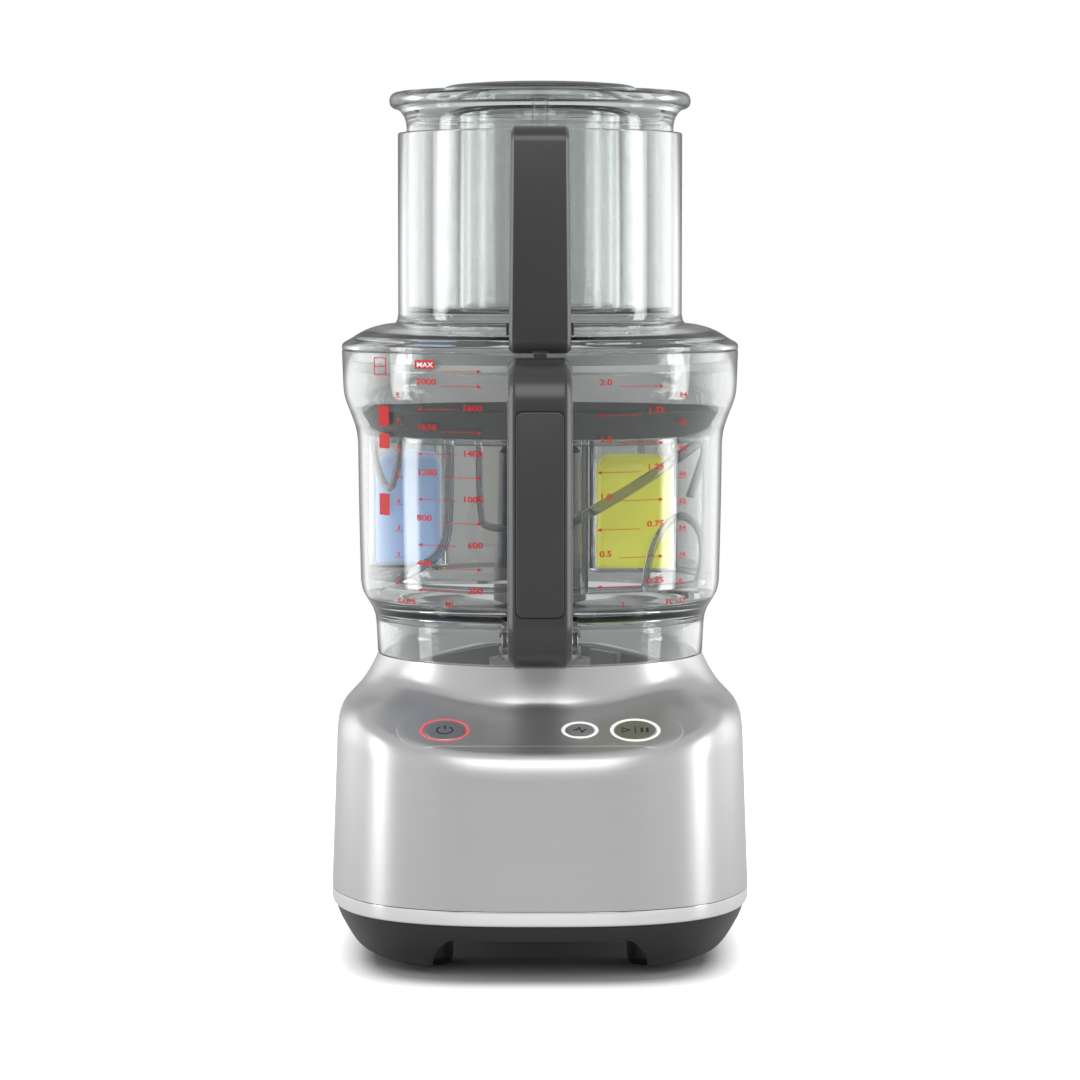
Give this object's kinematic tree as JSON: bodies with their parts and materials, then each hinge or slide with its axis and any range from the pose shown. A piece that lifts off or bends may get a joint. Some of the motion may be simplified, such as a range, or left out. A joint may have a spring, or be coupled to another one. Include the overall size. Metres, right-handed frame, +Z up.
{
  "type": "food processor",
  "caption": "Kitchen food processor with a metal motor base, clear bowl with front handle, clear lid with a wide feed chute, nested pushers and an accessory caddy.",
  "frame": {"origin": "on the table, at the plane of the four feet, in the middle of the machine's outline", "axes": "+Z up, along the drive spindle, which stands 17.05 mm behind the origin, -Y to the front with the handle and the controls, +X to the user's right"},
  "size_m": [0.195, 0.222, 0.4066],
  "materials": {
    "brushed_metal": "fine horizontal brushing, satin",
    "chrome_trim": "polished",
    "dark_plastic": "fine moulded grain, satin",
    "grip_plastic": "fine moulded grain, softer than the handle",
    "clear_plastic": "clear, polished",
    "smoke_plastic": "smoke tinted, polished",
    "black_rubber": "matt",
    "black_plastic": "satin",
    "grey_plastic": "satin",
    "fan_plastic": "satin",
    "blade_steel": "ground",
    "blue_plastic": "translucent",
    "lime_plastic": "translucent",
    "red_light": "glowing light ring",
    "white_light": "light ring",
    "red_plastic": "satin",
    "circuit_board": "lacquered",
    "wire_plastic": "satin",
    "motor_iron": "stacked sheets",
    "copper_wire": "lacquered copper wire",
    "cast_aluminium": "as cast",
    "bright_steel": "bright"
  },
  "bodies": {
    "base": {"base_shell": "brushed_metal", "chrome_band": "chrome_trim", "base_skirt": "dark_plastic", "bottom_plate": "dark_plastic", "feet": "black_rubber", "base_screws": "bright_steel", "bowl_seat_deck": "grey_plastic", "shaft_seal": "black_rubber", "cord_gland": "black_rubber", "control_panel": "brushed_metal", "power_ring": "red_light", "button_rings": "white_light", "control_board": "circuit_board", "touch_switches": "black_plastic", "power_board": "circuit_board", "run_capacitor": "fan_plastic", "interlock_switch": "black_plastic", "wiring_loom": "wire_plastic", "motor_stator": "motor_iron", "motor_windings": "copper_wire", "motor_upper_bracket": "cast_aluminium", "motor_lower_bracket": "cast_aluminium", "motor_bearings": "bright_steel", "motor_mounts": "black_rubber", "motor_bolts": "bright_steel"},
    "power_key": {"power_button": "brushed_metal"},
    "pulse_key": {"pulse_button": "brushed_metal"},
    "start_key": {"start_button": "brushed_metal"},
    "rotor": {"motor_rotor": "motor_iron", "motor_shaft": "bright_steel", "cooling_fan": "fan_plastic", "drive_coupling": "black_plastic"},
    "plunger": {"switch_plunger": "red_plastic"},
    "bowl_group": {"bowl": "clear_plastic", "bowl_handle": "dark_plastic", "handle_grip": "grip_plastic", "handle_screws": "bright_steel", "handle_spring": "bright_steel"},
    "bowl_rod": {"interlock_rod": "grey_plastic"},
    "blade": {"blade_hub": "black_plastic", "s_blades": "blade_steel"},
    "caddy": {"storage_caddy": "clear_plastic", "caddy_ring": "smoke_plastic", "blue_cover": "blue_plastic", "lime_cover": "lime_plastic", "slicing_insert": "blade_steel", "shredding_insert": "blade_steel"},
    "lid_group": {"lid": "clear_plastic", "lid_seal": "black_rubber", "rod_housing": "dark_plastic", "housing_clips": "black_plastic", "lid_spring": "bright_steel"},
    "lid_push_rod": {"lid_rod": "grey_plastic"},
    "pusher_group": {"pusher": "clear_plastic"},
    "small_pusher_group": {"small_pusher": "clear_plastic", "small_pusher_cap": "smoke_plastic"}
  },
  "joints": [
    {"name": "rotor_spin", "type": "hinge", "parent": "base", "child": "rotor", "pos_m": [0, 0.01705, 0.1], "axis": [0, 0, 1], "continuous": true},
    {"name": "bowl_lift", "type": "slide", "parent": "base", "child": "bowl_group", "axis": [0, 0, 1], "range_m": [0, 0.12]},
    {"name": "blade_spin", "type": "hinge", "parent": "bowl_group", "child": "blade", "pos_m": [0, 0.01705, 0.19], "axis": [0, 0, 1], "continuous": true},
    {"name": "lid_lift", "type": "slide", "parent": "bowl_group", "child": "lid_group", "axis": [0, 0, 1], "range_m": [0, 0.24]},
    {"name": "caddy_lift", "type": "slide", "parent": "bowl_group", "child": "caddy", "axis": [0, 0, 1], "range_m": [0, 0.12]},
    {"name": "pusher_slide", "type": "slide", "parent": "lid_group", "child": "pusher_group", "axis": [0, 0, 1], "range_m": [0, 0.1]},
    {"name": "small_pusher_slide", "type": "slide", "parent": "pusher_group", "child": "small_pusher_group", "axis": [0, 0, 1], "range_m": [0, 0.1]},
    {"name": "lid_rod_slide", "type": "slide", "parent": "lid_group", "child": "lid_push_rod", "axis": [0, 0, 1], "range_m": [0, 0.003], "deforming": ["lid_spring"]},
    {"name": "bowl_rod_slide", "type": "slide", "parent": "bowl_group", "child": "bowl_rod", "axis": [0, 0, 1], "range_m": [0, 0.003], "deforming": ["handle_spring"]},
    {"name": "plunger_slide", "type": "slide", "parent": "base", "child": "plunger", "axis": [0, 0, 1], "range_m": [0, 0.003]},
    {"name": "power_press", "type": "slide", "parent": "base", "child": "power_key", "axis": [0, 0.3362, -0.9418], "range_m": [0, 0.001], "stiffness_N_per_m": 1500},
    {"name": "pulse_press", "type": "slide", "parent": "base", "child": "pulse_key", "axis": [0, 0.3362, -0.9418], "range_m": [0, 0.001], "stiffness_N_per_m": 1500},
    {"name": "start_press", "type": "slide", "parent": "base", "child": "start_key", "axis": [0, 0.3362, -0.9418], "range_m": [0, 0.001], "stiffness_N_per_m": 1500}
  ],
  "couplings": [
    {"joint": "blade_spin", "follows": "rotor_spin", "ratio": 1},
    {"joint": "caddy_lift", "follows": "lid_lift", "ratio": 0.5},
    {"joint": "lid_rod_slide", "follows": "pusher_slide", "ratio": 0.03},
    {"joint": "bowl_rod_slide", "follows": "pusher_slide", "ratio": 0.03},
    {"joint": "plunger_slide", "follows": "pusher_slide", "ratio": 0.03}
  ]
}
